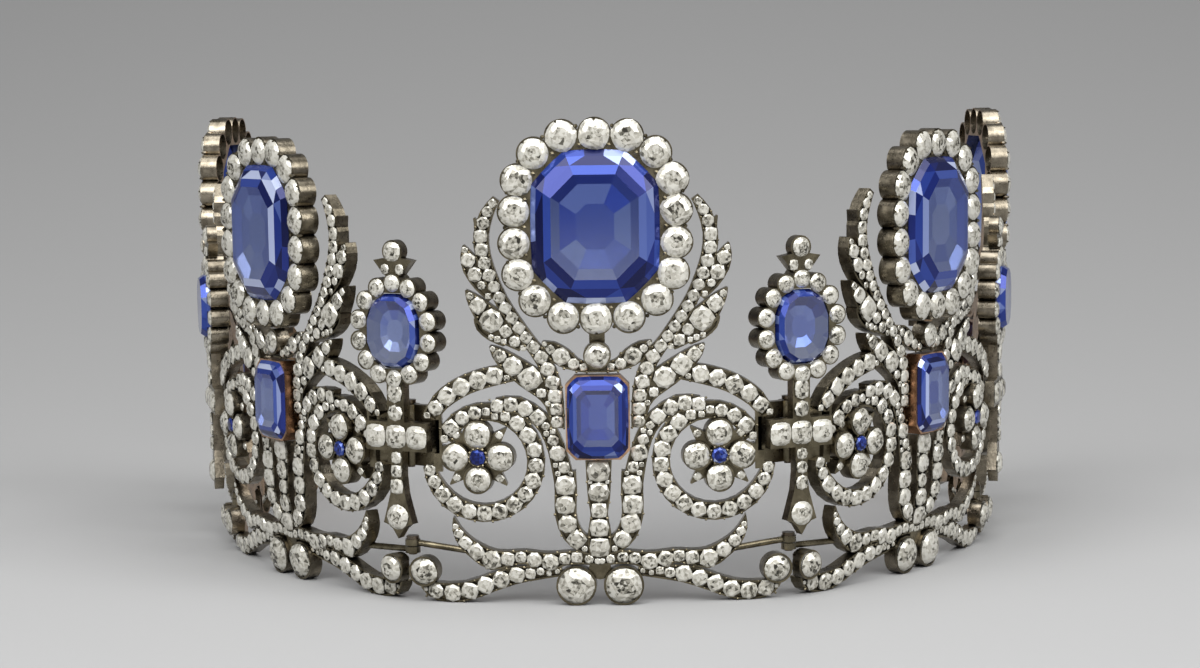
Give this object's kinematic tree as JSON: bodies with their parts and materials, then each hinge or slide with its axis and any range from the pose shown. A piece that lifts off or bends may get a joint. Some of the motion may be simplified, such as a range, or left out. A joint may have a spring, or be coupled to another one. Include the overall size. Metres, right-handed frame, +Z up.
{
  "type": "diadem",
  "caption": "Open-backed diadem of hinged openwork silver panels with large octagonal blue stones in haloes, volutes, leaf sprays and small ornaments over the hinges.",
  "frame": {"origin": "middle of the whole jewel's width and depth, on the surface that it stands on", "axes": "+X across the jewel, -Y out of its front, +Z up"},
  "size_m": [0.1118, 0.0899, 0.0569],
  "materials": {
    "tarnished_silver": "old silver, worked by hand, greyed and browned in the recesses",
    "pin_silver": "drawn silver wire, dull",
    "gold": "polished reddish gold",
    "sapphire": "faceted blue stone, polished",
    "diamond": "faceted colourless stone, polished"
  },
  "bodies": {
    "panel_front": {"frame_front": "tarnished_silver", "halo_front": "tarnished_silver", "rect_collet_front": "gold", "big_sapphire_front": "sapphire", "rect_sapphire_front": "sapphire", "flower_sapphires_front": "sapphire", "halo_diamonds_front": "diamond", "panel_diamonds_front": "diamond", "finial_left": "tarnished_silver", "oval_sapphire_left": "sapphire", "finial_diamonds_left": "diamond", "hinge_pin_left": "pin_silver", "finial_right": "tarnished_silver", "oval_sapphire_right": "sapphire", "finial_diamonds_right": "diamond", "hinge_pin_right": "pin_silver"},
    "panel_left": {"frame_left": "tarnished_silver", "halo_left": "tarnished_silver", "rect_collet_left": "gold", "big_sapphire_left": "sapphire", "rect_sapphire_left": "sapphire", "flower_sapphires_left": "sapphire", "halo_diamonds_left": "diamond", "panel_diamonds_left": "diamond", "finial_rear_left": "tarnished_silver", "oval_sapphire_rear_left": "sapphire", "finial_diamonds_rear_left": "diamond", "hinge_pin_rear_left": "pin_silver"},
    "panel_right": {"frame_right": "tarnished_silver", "halo_right": "tarnished_silver", "rect_collet_right": "gold", "big_sapphire_right": "sapphire", "rect_sapphire_right": "sapphire", "flower_sapphires_right": "sapphire", "halo_diamonds_right": "diamond", "panel_diamonds_right": "diamond", "finial_rear_right": "tarnished_silver", "oval_sapphire_rear_right": "sapphire", "finial_diamonds_rear_right": "diamond", "hinge_pin_rear_right": "pin_silver"},
    "panel_rear_left": {"frame_rear_left": "tarnished_silver", "halo_rear_left": "tarnished_silver", "rect_collet_rear_left": "gold", "big_sapphire_rear_left": "sapphire", "rect_sapphire_rear_left": "sapphire", "flower_sapphires_rear_left": "sapphire", "halo_diamonds_rear_left": "diamond", "panel_diamonds_rear_left": "diamond"},
    "panel_rear_right": {"frame_rear_right": "tarnished_silver", "halo_rear_right": "tarnished_silver", "rect_collet_rear_right": "gold", "big_sapphire_rear_right": "sapphire", "rect_sapphire_rear_right": "sapphire", "flower_sapphires_rear_right": "sapphire", "halo_diamonds_rear_right": "diamond", "panel_diamonds_rear_right": "diamond"}
  },
  "joints": [
    {"name": "hinge_left", "type": "hinge", "parent": "panel_front", "child": "panel_left", "pos_m": [-0.02229, -0.03607, 0.012], "axis": [0, 0, 1], "range_deg": [-12, 6]},
    {"name": "hinge_right", "type": "hinge", "parent": "panel_front", "child": "panel_right", "pos_m": [0.02229, -0.03607, 0.012], "axis": [0, 0, -1], "range_deg": [-12, 6]},
    {"name": "hinge_rear_left", "type": "hinge", "parent": "panel_left", "child": "panel_rear_left", "pos_m": [-0.04899, -0.00009, 0.012], "axis": [0, 0, 1], "range_deg": [-12, 6]},
    {"name": "hinge_rear_right", "type": "hinge", "parent": "panel_right", "child": "panel_rear_right", "pos_m": [0.04899, -0.00009, 0.012], "axis": [0, 0, -1], "range_deg": [-12, 6]}
  ]
}
